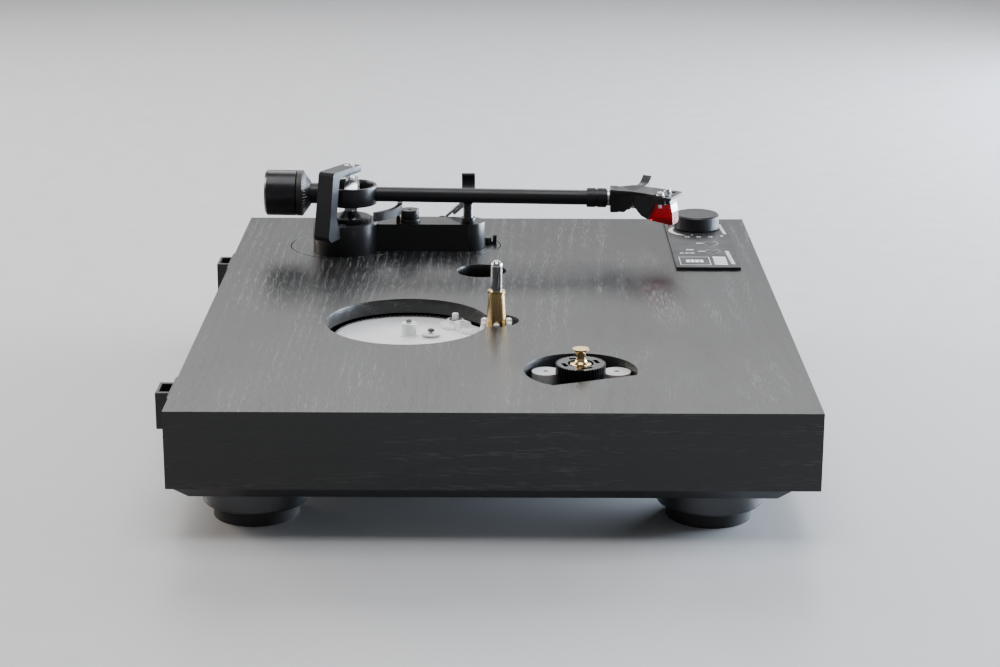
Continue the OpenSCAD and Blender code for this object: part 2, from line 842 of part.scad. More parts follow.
module finger_lift() {
    r_in = 12;
    color(satin_black) on_shell() translate([head_mid + head_w / 2 + 2.4, -12.2, shell_top - 1.6]) {
        rotate([90, 0, 0]) linear_extrude(height = 6.4) polygon(concat(
            [[0, 0]], arc([2, 1.6 + r_in], r_in + 1.6, -90, -36, 8),
            arc([2, 1.6 + r_in], r_in, -36, -90, 8), [[0, 1.6]]));
    }
}

// The places of the two cartridge screws
module at_cart_screws() for (s = [-1, 1])
    translate([head_mid + s * cart_screw_dx, -cart_screw_u, 0]) children();

module headshell_screws() {
    color(bright_steel) on_shell() at_cart_screws() {
        post(1.15, -1.5, shell_top + 0.4);
        post(2.9, shell_top, shell_top + 0.5);
        difference() {
            post(2.2, shell_top + 0.4, shell_top + 2.2);
            block(5, 0.6, shell_top + 1.5, shell_top + 3);
        }
    }
}

module cartridge_body() {
    under = shell_top - shell_t;
    outline = [[19.2, under], [44.8, under], [45.4, 1.6], [34, 0.8], [29.6, -10.6], [24.6, -8.6], [19.2, -3]];
    color(plastic_black) on_shell() difference() {
        union() {
            translate([head_mid, 0, 0]) side_shape(outline, 11);
            translate([head_mid, -38.4, 0]) block(16.6, 8, 1.2, under);
        }
        at_cart_screws() post(1.2, -4, under + 1);
    }
}

module stylus_unit() {
    outline = [[34.4, 0.5], [45.6, 1.3], [46.9, -4], [47.4, -12.2], [45, -13], [30, -11]];
    color(stylus_red) on_shell() {
        difference() {
            translate([head_mid, 0, 0]) side_shape(outline, 10.4);
            for (s = [-1, 1]) translate([head_mid + s * 6.4, -38, -13.6]) rotate([0, s * 24, 0])
                block(5, 40, -4, 5);
            at_cart_screws() post(1.3, -2, 3);
        }
        translate([head_mid, -44.4, -11.6]) rotate([32, 0, 0]) post(0.35, -4, 0.4);
    }
}

module counterweight() {
    r = weight_d / 2;
    color(satin_black) on_arm() rotate([-90, 0, 0]) rotate_extrude() polygon(concat(
        [[stub_r + loose, weight_front], [r - 0.6, weight_front], [r, weight_front + 0.6]],
        [[r, weight_back - 1.6], [r - 1.4, weight_back - 0.3], [r - 4, weight_back], [0, weight_back],
         [0, weight_back - 1.4], [stub_r + loose, weight_back - 1.4]]));
}

module force_dial() {
    r = weight_d / 2;
    color(plastic_black) on_arm() rotate([-90, 0, 0]) rotate_extrude() polygon([
        [stub_r + loose, weight_front - 9.2], [stub_r + 0.7, weight_front - 9.2],
        [r - 0.5, weight_front - 4.2], [r + 0.1, weight_front - 3.8],
        [r + 0.1, weight_front - gap], [stub_r + loose, weight_front - gap]]);
}

// ---- arm rest, lift and selector ----

module armrest_post() {
    tube_low = 32.3;
    pivot = [clip_pivot[0] - rest_at[0], clip_pivot[2]];
    color(satin_black) on_deck() at(rest_at) {
        post(4.9, bar_h, bar_h + 4);
        post(3.3, bar_h, tube_low);
        difference() {
            union() {
                translate([pivot[0] / 2, 0, 0]) block(pivot[0], 5.4, 25.5, 29.5);
                translate([pivot[0], 0, 0]) block(3.4, 5.4, 25.5, pivot[1]);
                translate([pivot[0], 0, pivot[1]]) rod_y(1.7, -2.7, 2.7);
            }
            post(3.1, 20, tube_low);
        }
        translate([pivot[0], 0, pivot[1]]) rod_y(1, -4.6, 4.6);
    }
}

// The clip stands open beside the tube; closed, its hook lies over the tube
module arm_clip() {
    hook_r = 5.9;
    hook_t = 1.5;
    swing = [1.6, 7.8];
    color(plastic_black) on_deck() translate(clip_pivot) {
        for (s = [-1, 1]) translate([0, s * 3.8, 0]) difference() {
            union() {
                rod_y(2.2, -0.7, 0.7);
                rotate([0, 12, 0]) block(2.6, 1.4, 0, 1.9);
            }
            rod_y(1 + loose, -2, 2);
        }
        difference() {
            translate([0, 4.5, 0]) rotate([90, 0, 0]) linear_extrude(height = 9) polygon(concat(
                arc(swing, hook_r + hook_t, -106, 64, 14), arc(swing, hook_r, 64, -106, 14)));
            rod_y(2.4, -3.1, 3.1);
            rod_y(1 + loose, -5, 5);
            translate([-0.2, 0, -1]) block(6, 6.2, -3, 3.4);
        }
    }
}

module lift_cylinder() {
    color(satin_black) on_deck() at(lift_at) difference() {
        union() {
            post(7.1, bar_h, bar_h + 2.6);
            post(5.9, bar_h, lift_top - 6);
            post(6.3, lift_top - 6, lift_top);
        }
        post(1.4, lift_top - 4, lift_top + 1);
    }
}

// A curved rail under the arm tube, on a pin that rises out of the base
module lift_rest() {
    color(satin_black) on_deck() {
        at(pivot_at) {
            rail(-148, -98, bench_low);
            rail(-98.5, -81, lift_top + 0.6);
        }
        at(bench_pin_at) post(1.3, 8, bench_high - 1);
    }
}

module rail(from, to, low) translate([0, 0, low]) linear_extrude(height = bench_high - low)
    polygon(concat(arc([0, 0], bench_r + 1.6, from, to, 12), arc([0, 0], bench_r - 1.6, to, from, 12)));

module cue_lever() {
    color(bright_steel) on_deck() translate(cue_at) {
        rod_x(3.2, -2.4, 0.8);
        rod_x(1.5, -11, -2);
        rotate([48.6, 0, 0]) translate([-0.9, 0, 0]) {
            block(3, 1.5, 0, 12);
            translate([0, -1, 0]) block(4.2, 3.5, 8.6, 19.5);
        }
    }
}

module size_selector() {
    color(plastic_black) on_deck() at(selector_at) {
        post(2.3, gap, 5);
        post(1.2, -8, 1);
        translate([0, -3.2, 0]) block(3, 5.4, gap, 2.4);
        translate([0, -4.6, 0]) block(4, 2.6, gap, 6.8);
    }
}

plinth();
base_cover();
base_screws();
foot_front_left();
foot_front_right();
foot_rear_left();
foot_rear_right();
foot_pads();
mechanism_plate();
bearing_housing();
motor_body();
motor_bracket();
motor_grommets();
motor_mount_ring();
motor_pulley();
hinge_socket_left();
hinge_socket_right();
hinge_screws();
connector_panel();
phono_sockets();
ground_terminal();
power_inlet();
power_switch();
circuit_board();
control_plate();
speed_switch();
speed_knob();
start_button();
stop_button();
spindle_shaft();
spindle_cone();
drive_pinion();
cam_wheel();
cam_axle();
trip_pawl();
arm_board();
arm_base();
arm_bridge();
arm_screws();
pivot_cone();
antiskate_dial();
gimbal_ring();
gimbal_yoke();
gimbal_pivots();
arm_tube();
rear_stub();
locking_collar();
headshell();
finger_lift();
headshell_screws();
cartridge_body();
stylus_unit();
counterweight();
force_dial();
armrest_post();
arm_clip();
lift_cylinder();
lift_rest();
cue_lever();
size_selector();
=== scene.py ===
"""Looks for the turntable record player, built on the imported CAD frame. Metres, in the row's frame."""

import json
import math

import bmesh
import bpy
from mathutils import Matrix, Vector


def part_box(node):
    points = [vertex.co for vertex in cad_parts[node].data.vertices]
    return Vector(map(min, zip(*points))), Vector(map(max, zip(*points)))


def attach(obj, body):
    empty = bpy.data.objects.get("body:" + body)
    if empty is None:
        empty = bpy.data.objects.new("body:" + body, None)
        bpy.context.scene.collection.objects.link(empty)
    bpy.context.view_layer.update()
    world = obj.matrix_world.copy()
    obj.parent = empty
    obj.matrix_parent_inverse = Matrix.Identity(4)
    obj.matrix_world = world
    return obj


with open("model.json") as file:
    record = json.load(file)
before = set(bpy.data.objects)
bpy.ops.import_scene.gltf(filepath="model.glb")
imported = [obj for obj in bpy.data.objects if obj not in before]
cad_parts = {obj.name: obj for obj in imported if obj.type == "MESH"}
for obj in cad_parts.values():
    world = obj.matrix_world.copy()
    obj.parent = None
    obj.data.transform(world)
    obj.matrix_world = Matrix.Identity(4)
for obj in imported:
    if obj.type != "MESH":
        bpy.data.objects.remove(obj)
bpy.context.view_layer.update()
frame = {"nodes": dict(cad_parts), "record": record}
MM = 0.001


# ---- places ----

def low(node):
    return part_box(node)[0]


def high(node):
    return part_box(node)[1]


def middle(node):
    a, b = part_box(node)
    return (a + b) / 2


def joint(name):
    return next(j for j in frame["record"]["behaviour"]["joints"] if j["name"] == name)


DECK = high("plinth").z
PLATE_TOP = high("control_plate").z
PIVOT = Vector(joint("arm_tilt")["pos_m"])
DROOP = math.radians(0.73)
HEAD_OFFSET = math.radians(26)

# The arm's frame: origin on the tilt axis, -Y towards the headshell, tilted down by the droop
ARM = Matrix.Translation(PIVOT) @ Matrix.Rotation(DROOP, 4, "X")
# The headshell's frame: origin on the neck, -Y towards the shell's tip
NECK = 175.8 * MM
SHELL = ARM @ Matrix.Translation((0, -NECK, 0)) @ Matrix.Rotation(-HEAD_OFFSET, 4, "Z")


# ---- camera, floor and light ----

def add_camera():
    """The photo's viewpoint, solved from the plinth's corners and the deck's round openings."""
    yaw, pitch, roll = (math.radians(a) for a in (0.10574, 16.7122, 0.18295))
    eye = (-1.3382, -0.01054, 0.4556)
    forward = Vector((math.cos(yaw) * math.cos(pitch), math.sin(yaw) * math.cos(pitch), -math.sin(pitch)))
    flat_right = forward.cross(Vector((0, 0, 1))).normalized()
    flat_up = flat_right.cross(forward)
    right = flat_right * math.cos(roll) + flat_up * math.sin(roll)
    up = flat_up * math.cos(roll) - flat_right * math.sin(roll)
    data = bpy.data.cameras.new("camera")
    data.sensor_width = 36
    data.lens = 80.035
    data.clip_start, data.clip_end = 0.01, 50
    camera = bpy.data.objects.new("camera", data)
    camera.matrix_world = Matrix((
        (right.x, up.x, -forward.x, eye[0]),
        (right.y, up.y, -forward.y, eye[1]),
        (right.z, up.z, -forward.z, eye[2]),
        (0, 0, 0, 1)))
    bpy.context.scene.collection.objects.link(camera)
    bpy.context.scene.camera = camera


def add_light(name, place, target, size, watts, colour=(1, 1, 1)):
    data = bpy.data.lights.new(name, "AREA")
    data.shape = "RECTANGLE"
    data.size, data.size_y = size
    data.energy = watts
    data.color = colour
    lamp = bpy.data.objects.new(name, data)
    lamp.location = place
    lamp.rotation_euler = (Vector(target) - Vector(place)).to_track_quat("-Z", "Y").to_euler()
    bpy.context.scene.collection.objects.link(lamp)


# ---- materials ----

class Material:
    """A Principled material whose nodes are added one at a time."""

    def __init__(self, name, colour, roughness, metallic=0.0, **sockets):
        self.material = bpy.data.materials.new(name)
        self.material.use_nodes = True
        self.tree = self.material.node_tree
        self.tree.nodes.clear()
        output = self.add("ShaderNodeOutputMaterial")
        self.shader = self.add("ShaderNodeBsdfPrincipled")
        self.join(self.shader, "BSDF", output, "Surface")
        self.coordinates = self.add("ShaderNodeTexCoord")
        self.shader.inputs["Base Color"].default_value = (*colour, 1)
        self.shader.inputs["Roughness"].default_value = roughness
        self.shader.inputs["Metallic"].default_value = metallic
        for key, value in sockets.items():
            self.shader.inputs[key.replace("_", " ")].default_value = value
        self.material.diffuse_color = (*colour, 1)

    def add(self, kind, **values):
        node = self.tree.nodes.new(kind)
        for key, value in values.items():
            setattr(node, key, value)
        return node

    def join(self, a, out, b, into):
        self.tree.links.new(a.outputs[out], b.inputs[into])

    def stretched(self, scale):
        node = self.add("ShaderNodeVectorMath", operation="MULTIPLY")
        self.join(self.coordinates, "Object", node, 0)
        node.inputs[1].default_value = scale
        return node

    def noise(self, scale, detail=2.0, stretch=(1, 1, 1), roughness=0.5):
        node = self.add("ShaderNodeTexNoise")
        node.inputs["Scale"].default_value = scale
        node.inputs["Detail"].default_value = detail
        node.inputs["Roughness"].default_value = roughness
        if stretch == (1, 1, 1):
            self.join(self.coordinates, "Object", node, "Vector")
        else:
            self.join(self.stretched(stretch), "Vector", node, "Vector")
        return node

    def spread(self, node, out, low_value, high_value, into_low=0.3, into_high=0.7):
        ranged = self.add("ShaderNodeMapRange")
        self.join(node, out, ranged, "Value")
        ranged.inputs["From Min"].default_value = into_low
        ranged.inputs["From Max"].default_value = into_high
        ranged.inputs["To Min"].default_value = low_value
        ranged.inputs["To Max"].default_value = high_value
        return ranged

    def tint(self, factor, out, dark, pale):
        mix = self.add("ShaderNodeMix", data_type="RGBA")
        self.join(factor, out, mix, 0)
        mix.inputs[6].default_value = (*dark, 1)
        mix.inputs[7].default_value = (*pale, 1)
        self.tree.links.new(mix.outputs[2], self.shader.inputs["Base Color"])

    def bump(self, node, out, strength, distance):
        made = self.add("ShaderNodeBump")
        made.inputs["Strength"].default_value = strength
        made.inputs["Distance"].default_value = distance
        self.join(node, out, made, "Height")
        self.join(made, "Normal", self.shader, "Normal")


def moulded(name, colour, roughness, grain=2600, depth=0.25, vary=0.12, **sockets):
    """Plastic, rubber or lacquer: a fine moulded grain with slightly uneven gloss and tone."""
    m = Material(name, colour, roughness, **sockets)
    cloud = m.noise(45, 3)
    m.tint(cloud, "Fac", [c * (1 - vary) for c in colour], [min(1, c * (1 + vary)) for c in colour])
    m.join(m.spread(cloud, "Fac", roughness - 0.05, roughness + 0.06), "Result", m.shader, "Roughness")
    m.bump(m.noise(grain, 2), "Fac", depth, 0.00003)
    return m.material


def metal(name, colour, roughness, metallic=1.0, stretch=(1, 1, 1), grain=1800, depth=0.08, vary=0.08,
          **sockets):
    """Metal or anodised metal with a fine grain; stretch draws the grain out into brushing."""
    m = Material(name, colour, roughness, metallic, **sockets)
    marks = m.noise(grain, 3, stretch)
    m.tint(marks, "Fac", [c * (1 - vary) for c in colour], [min(1, c * (1 + vary)) for c in colour])
    gloss = m.spread(m.noise(60, 3), "Fac", roughness * 0.85, roughness * 1.2)
    m.join(gloss, "Result", m.shader, "Roughness")
    m.bump(marks, "Fac", depth, 0.00002)
    return m.material


def turned(name, colour, roughness, centre, pitch=0.00022, depth=0.1, **sockets):
    """Lathe-turned metal: fine rings round an upright axis through centre."""
    m = Material(name, colour, roughness, 1.0, **sockets)
    shifted = m.add("ShaderNodeVectorMath", operation="SUBTRACT")
    m.join(m.coordinates, "Object", shifted, 0)
    shifted.inputs[1].default_value = (centre.x, centre.y, 0)
    split = m.add("ShaderNodeSeparateXYZ")
    m.join(shifted, "Vector", split, "Vector")
    flat = m.add("ShaderNodeVectorMath", operation="MULTIPLY")
    m.join(shifted, "Vector", flat, 0)
    flat.inputs[1].default_value = (1, 1, 0)
    radius = m.add("ShaderNodeVectorMath", operation="LENGTH")
    m.join(flat, "Vector", radius, 0)
    total = m.add("ShaderNodeMath", operation="ADD")
    m.join(radius, "Value", total, 0)
    m.join(split, "Z", total, 1)
    waves = m.add("ShaderNodeMath", operation="MULTIPLY")
    m.join(total, "Value", waves, 0)
    waves.inputs[1].default_value = 2 * math.pi / pitch
    sine = m.add("ShaderNodeMath", operation="SINE")
    m.join(waves, "Value", sine, 0)
    m.bump(sine, "Value", depth, 0.000008)
    cloud = m.noise(70, 3)
    m.tint(cloud, "Fac", [c * 0.93 for c in colour], [min(1, c * 1.05) for c in colour])
    m.join(m.spread(cloud, "Fac", roughness * 0.8, roughness * 1.3), "Result", m.shader, "Roughness")
    return m.material


def veneer():
    """Black-stained open-pore oak: pores run along X on the top, front and back, and along Y on the ends."""
    m = Material("veneer", (0.012, 0.0125, 0.013), 0.4, Specular_IOR_Level=0.5)
    geometry = m.add("ShaderNodeNewGeometry")
    facing = m.add("ShaderNodeSeparateXYZ")
    m.join(geometry, "Normal", facing, "Vector")
    size = m.add("ShaderNodeMath", operation="ABSOLUTE")
    m.join(facing, "X", size, 0)
    ends = m.add("ShaderNodeMath", operation="GREATER_THAN")
    m.join(size, "Value", ends, 0)
    ends.inputs[1].default_value = 0.7
    split = m.add("ShaderNodeSeparateXYZ")
    m.join(m.coordinates, "Object", split, "Vector")
    swapped = m.add("ShaderNodeCombineXYZ")
    for a, b in (("Y", "X"), ("X", "Y"), ("Z", "Z")):
        m.join(split, a, swapped, b)
    along = m.add("ShaderNodeMix", data_type="VECTOR")
    m.join(ends, "Value", along, 0)
    m.tree.links.new(m.coordinates.outputs["Object"], along.inputs[4])
    m.tree.links.new(swapped.outputs["Vector"], along.inputs[5])

    def scaled(vector, out, scale):
        node = m.add("ShaderNodeVectorMath", operation="MULTIPLY")
        m.tree.links.new(vector.outputs[out], node.inputs[0])
        node.inputs[1].default_value = scale
        return node

    def noise_on(vector, scale, detail, roughness=0.5):
        node = m.add("ShaderNodeTexNoise")
        m.join(vector, "Vector", node, "Vector")
        node.inputs["Scale"].default_value = scale
        node.inputs["Detail"].default_value = detail
        node.inputs["Roughness"].default_value = roughness
        return node

    # A slow drift bends the grain; a cathedral figure nests its rings round a line near the front
    bend_by, figure_at, ring_pitch = 0.016, (-0.30, -0.105, 0), 0.0052
    drift = noise_on(scaled(along, 1, (4, 16, 16)), 1.0, 2)
    bend = m.add("ShaderNodeVectorMath", operation="MULTIPLY_ADD")
    m.join(drift, "Color", bend, 0)
    bend.inputs[1].default_value = (0, bend_by, bend_by)
    m.tree.links.new(along.outputs[1], bend.inputs[2])
    rings_at = m.add("ShaderNodeVectorMath", operation="SUBTRACT")
    m.join(bend, "Vector", rings_at, 0)
    rings_at.inputs[1].default_value = figure_at
    ring_radius = m.add("ShaderNodeVectorMath", operation="LENGTH")
    m.join(scaled(rings_at, "Vector", (0.10, 1, 1)), "Vector", ring_radius, 0)
    ring_waves = m.add("ShaderNodeMath", operation="MULTIPLY")
    m.join(ring_radius, "Value", ring_waves, 0)
    ring_waves.inputs[1].default_value = 2 * math.pi / ring_pitch
    rings = m.add("ShaderNodeMath", operation="SINE")
    m.join(ring_waves, "Value", rings, 0)

    pores = noise_on(scaled(bend, "Vector", (75, 2100, 2100)), 1.0, 2, 0.6)
    banded = m.add("ShaderNodeMath", operation="MULTIPLY_ADD")
    m.join(rings, "Value", banded, 0)
    banded.inputs[1].default_value = 0.055
    m.join(pores, "Fac", banded, 2)
    mask = m.spread(banded, "Value", 0.0, 1.0, 0.56, 0.66)
    pale = noise_on(scaled(along, 1, (9, 30, 30)), 1.0, 2)
    strength = m.spread(pale, "Fac", 0.25, 1.0, 0.36, 0.62)
    # Painted highlight: the pale pore colour is partly the pores' own lighter tone and partly painted glints
    # off their edges
    pore_tone_and_glint = m.add("ShaderNodeMath", operation="MULTIPLY")
    m.join(mask, "Result", pore_tone_and_glint, 0)
    m.join(strength, "Result", pore_tone_and_glint, 1)
    # Painted shade: the pores on the two ends are toned down to 0.3 of their strength, so the end facing the
    # camera stays near black
    pore_glint_and_end_shade = m.add("ShaderNodeMath", operation="MULTIPLY")
    m.join(pore_tone_and_glint, "Value", pore_glint_and_end_shade, 0)
    m.join(m.spread(ends, "Value", 1.0, 0.3, 0, 1), "Result", pore_glint_and_end_shade, 1)
    m.tint(pore_glint_and_end_shade, "Value", (0.0085, 0.009, 0.0095), (0.16, 0.163, 0.165))
    m.join(m.spread(mask, "Result", 0.36, 0.5, 0, 1), "Result", m.shader, "Roughness")
    m.bump(mask, "Result", 0.3, -0.00008)
    return m.material


def clear_red():
    m = Material("stylus_red", (0.42, 0.003, 0.010), 0.14, Transmission_Weight=0.55, IOR=1.49)
    cloud = m.noise(160, 2)
    m.tint(cloud, "Fac", (0.34, 0.002, 0.008), (0.5, 0.005, 0.014))
    m.bump(m.noise(900, 2), "Fac", 0.04, 0.00002)
    return m.material


def painted(name, colour):
    """Ink or enamel for small marks and coloured wires."""
    return moulded(name, colour, 0.5, grain=4000, depth=0.1, vary=0.06)


MATERIALS = {
    "veneer": veneer(),
    "satin": metal("satin_black", (0.020, 0.020, 0.022), 0.34, 0.35, grain=2400, depth=0.12),
    "bead": metal("bead_blasted", (0.026, 0.027, 0.030), 0.36, 0.5, grain=4200, depth=0.3),
    "lacquer": metal("black_lacquer", (0.018, 0.018, 0.020), 0.26, 0.3, grain=1600, depth=0.05),
    "plastic": moulded("black_plastic", (0.018, 0.018, 0.019), 0.44),
    "plate": metal("plate_black", (0.014, 0.0145, 0.016), 0.48, 0.1, (1, 30, 1), 120, 0.08),
    "powder": moulded("powder_coat", (0.012, 0.012, 0.013), 0.45, grain=1500, depth=0.4),
    "gear": moulded("gear_white", (0.90, 0.91, 0.92), 0.36, vary=0.03,
                    Subsurface_Weight=0.08, Subsurface_Scale=0.002),
    "milky": moulded("milky_rubber", (0.70, 0.72, 0.72), 0.48, vary=0.06,
                     Subsurface_Weight=0.2, Subsurface_Scale=0.003),
    "brass_cone": turned("brass_cone", (0.74, 0.52, 0.24), 0.2, middle("spindle_cone")),
    "brass_pulley": turned("brass_pulley", (0.86, 0.64, 0.30), 0.13, middle("motor_pulley")),
    "steel": turned("polished_steel", (0.60, 0.61, 0.63), 0.08, middle("spindle_shaft"), 0.0003, 0.04),
    "bright": metal("bright_steel", (0.80, 0.81, 0.83), 0.28, grain=2600),
    "zinc": metal("zinc", (0.50, 0.51, 0.52), 0.34, grain=900, depth=0.15),
    # Painted shade: the feet's metal is toned very dark, partly for the shade they sit in under the plinth
    "foot": metal("foot_metal", (0.07, 0.072, 0.076), 0.34, 0.8),
    "rubber": moulded("rubber", (0.022, 0.022, 0.022), 0.75, grain=1200, depth=0.5),
    "board": moulded("board_green", (0.02, 0.12, 0.05), 0.35),
    "red": clear_red(),
    "ink": painted("ink_white", (0.90, 0.91, 0.92)),
    "wire_white": painted("wire_white", (0.80, 0.80, 0.78)),
    "wire_red": painted("wire_red", (0.62, 0.03, 0.02)),
    "wire_blue": painted("wire_blue", (0.03, 0.12, 0.45)),
    "wire_green": painted("wire_green", (0.03, 0.30, 0.12)),
    "gold": metal("gold_pin", (0.85, 0.65, 0.30), 0.2),
}

NODE_MATERIALS = {
    "veneer": ["plinth", "arm_board"],
    "satin": ["arm_base", "pivot_cone", "antiskate_dial", "gimbal_ring", "rear_stub", "arm_tube",
              "locking_collar", "headshell", "finger_lift", "armrest_post", "lift_cylinder", "lift_rest"],
    "bead": ["speed_knob", "arm_bridge", "start_button", "stop_button"],
    "lacquer": ["counterweight", "motor_mount_ring"],
    "plastic": ["base_cover", "hinge_socket_left", "hinge_socket_right", "connector_panel", "power_inlet",
                "cartridge_body", "force_dial", "arm_clip", "size_selector"],
    "plate": ["control_plate"],
    "powder": ["mechanism_plate", "motor_bracket"],
    "gear": ["cam_wheel", "drive_pinion", "trip_pawl", "power_switch"],
    "milky": ["motor_grommets"],
    "brass_cone": ["spindle_cone"],
    "brass_pulley": ["motor_pulley"],
    "steel": ["spindle_shaft"],
    "bright": ["gimbal_yoke", "gimbal_pivots", "headshell_screws", "arm_screws", "cue_lever", "phono_sockets",
               "ground_terminal"],
    "zinc": ["base_screws", "hinge_screws", "motor_body", "bearing_housing", "cam_axle", "speed_switch"],
    "foot": ["foot_front_left", "foot_front_right", "foot_rear_left", "foot_rear_right"],
    "rubber": ["foot_pads"],
    "board": ["circuit_board"],
    "red": ["stylus_unit"],
}

# Edge rounding in millimetres; a node that isn't named keeps its CAD edges
EDGES = {
    "plinth": 0.5, "arm_board": 0.25, "base_cover": 0.6, "control_plate": 0.3, "arm_base": 0.5,
    "arm_bridge": 0.45, "gimbal_ring": 0.4, "headshell": 0.3, "armrest_post": 0.25, "arm_clip": 0.25,
    "lift_cylinder": 0.3, "lift_rest": 0.3, "cue_lever": 0.2, "hinge_socket_left": 0.4,
    "hinge_socket_right": 0.4, "gimbal_yoke": 0.25, "cartridge_body": 0.25, "connector_panel": 0.3,
    "finger_lift": 0.2, "size_selector": 0.2, "trip_pawl": 0.15,
}


def dress_cad():
    for key, names in NODE_MATERIALS.items():
        for name in names:
            data = frame["nodes"][name].data
            data.materials.clear()
            data.materials.append(MATERIALS[key])
    for name, width in EDGES.items():
        node = frame["nodes"][name]
        weld = node.modifiers.new("weld", "WELD")
        weld.merge_threshold = 1e-6
        bevel = node.modifiers.new("edges", "BEVEL")
        bevel.width = width * MM
        bevel.segments = 2
        bevel.limit_method = "ANGLE"
        bevel.angle_limit = math.radians(40)
        bevel.harden_normals = False
        bevel.use_clamp_overlap = True


# ---- pieces ----

def piece(name, vertices, faces, body, key, smooth=0):
    """A mesh piece that rides on a body; smooth is the angle in degrees below which an edge looks round."""
    mesh = bpy.data.meshes.new(name)
    mesh.from_pydata([tuple(v) for v in vertices], [], faces)
    made = bmesh.new()
    made.from_mesh(mesh)
    bmesh.ops.recalc_face_normals(made, faces=made.faces)
    made.to_mesh(mesh)
    made.free()
    mesh.materials.append(MATERIALS[key])
    obj = bpy.data.objects.new(name, mesh)
    bpy.context.scene.collection.objects.link(obj)
    if smooth:
        mesh.shade_smooth()
        mesh.set_sharp_from_angle(angle=math.radians(smooth))
    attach(obj, body)


class Shape:
    """Collects vertices and faces of several solids into one piece."""

    def __init__(self):
        self.vertices, self.faces = [], []

    def add(self, vertices, faces, place=None):
        start = len(self.vertices)
        self.vertices += [place @ Vector(v) if place else Vector(v) for v in vertices]
        self.faces += [tuple(i + start for i in face) for face in faces]

    def prism(self, outline, low_z, high_z, place=None):
        n = len(outline)
        vertices = [(x, y, z) for z in (low_z, high_z) for x, y in outline]
        faces = [tuple(range(n))[::-1], tuple(range(n, 2 * n))]
        faces += [(i, (i + 1) % n, (i + 1) % n + n, i + n) for i in range(n)]
        self.add(vertices, faces, place)

    def lathe(self, profile, place=None, steps=48):
        n = len(profile)
        vertices = [(r * math.cos(a), r * math.sin(a), z)
                    for a in (2 * math.pi * i / steps for i in range(steps)) for r, z in profile]
        faces = []
        for i in range(steps):
            j = (i + 1) % steps
            faces += [(i * n + k, j * n + k, j * n + (k + 1) % n, i * n + (k + 1) % n) for k in range(n)]
        self.add(vertices, faces, place)

    def tube(self, points, radius, sides=10):
        points = [Vector(p) for p in points]
        side = Vector((0, 0, 1))
        for i, p in enumerate(points):
            ahead = (points[min(i + 1, len(points) - 1)] - points[max(i - 1, 0)]).normalized()
            across = ahead.cross(side if abs(ahead.z) < 0.95 else Vector((1, 0, 0))).normalized()
            upward = across.cross(ahead)
            start = len(self.vertices)
            self.vertices += [p + radius * (math.cos(a) * across + math.sin(a) * upward)
                              for a in (2 * math.pi * k / sides for k in range(sides))]
            if i:
                back = start - sides
                self.faces += [(back + k, back + (k + 1) % sides, start + (k + 1) % sides, start + k)
                               for k in range(sides)]
        first = start - sides * (len(points) - 1)
        self.faces += [tuple(range(start, start + sides)), tuple(range(first, first + sides))[::-1]]

    def piece(self, name, body, key, slot, smooth=0):
        piece(name, self.vertices, self.faces, body, key, smooth)


def at(point, turn=0.0):
    return Matrix.Translation(point) @ Matrix.Rotation(turn, 4, "Z")


def numerals(text, height, place, shape):
    """Flat raised digits, added to a shape, centred on place."""
    curve = bpy.data.curves.new("digits", "FONT")
    curve.body = text
    curve.size = height * 1.4
    curve.align_x, curve.align_y = "CENTER", "CENTER"
    curve.extrude = 0.03 * MM
    curve.resolution_u = 3
    holder = bpy.data.objects.new("digits", curve)
    bpy.context.scene.collection.objects.link(holder)
    mesh = bpy.data.meshes.new_from_object(holder.evaluated_get(bpy.context.evaluated_depsgraph_get()))
    shape.add([v.co.copy() for v in mesh.vertices], [tuple(p.vertices) for p in mesh.polygons], place)
    bpy.data.objects.remove(holder)
    bpy.data.meshes.remove(mesh)
    bpy.data.curves.remove(curve)


def arc_band(centre, r_in, r_out, a0, a1, low_z, high_z, shape, steps=28, taper=False):
    """A flat curved band; with taper its width falls to nothing at both ends."""
    outer, inner = [], []
    for i in range(steps + 1):
        t = i / steps
        a = math.radians(a0 + (a1 - a0) * t)
        thin = math.sin(math.pi * t) if taper else 1
        outer.append((centre.x + (r_in + (r_out - r_in) * thin) * math.cos(a),
                      centre.y + (r_in + (r_out - r_in) * thin) * math.sin(a)))
        inner.append((centre.x + r_in * math.cos(a), centre.y + r_in * math.sin(a)))
    if taper:
        outer = outer[1:-1]
    shape.prism(outer + inner[::-1], low_z, high_z)


def dot(centre, radius, low_z, high_z, shape, steps):
    """A round mark with a pinhole in its middle."""
    arc_band(centre, 0.05 * MM, radius, 0, 360, low_z, high_z, shape, steps)


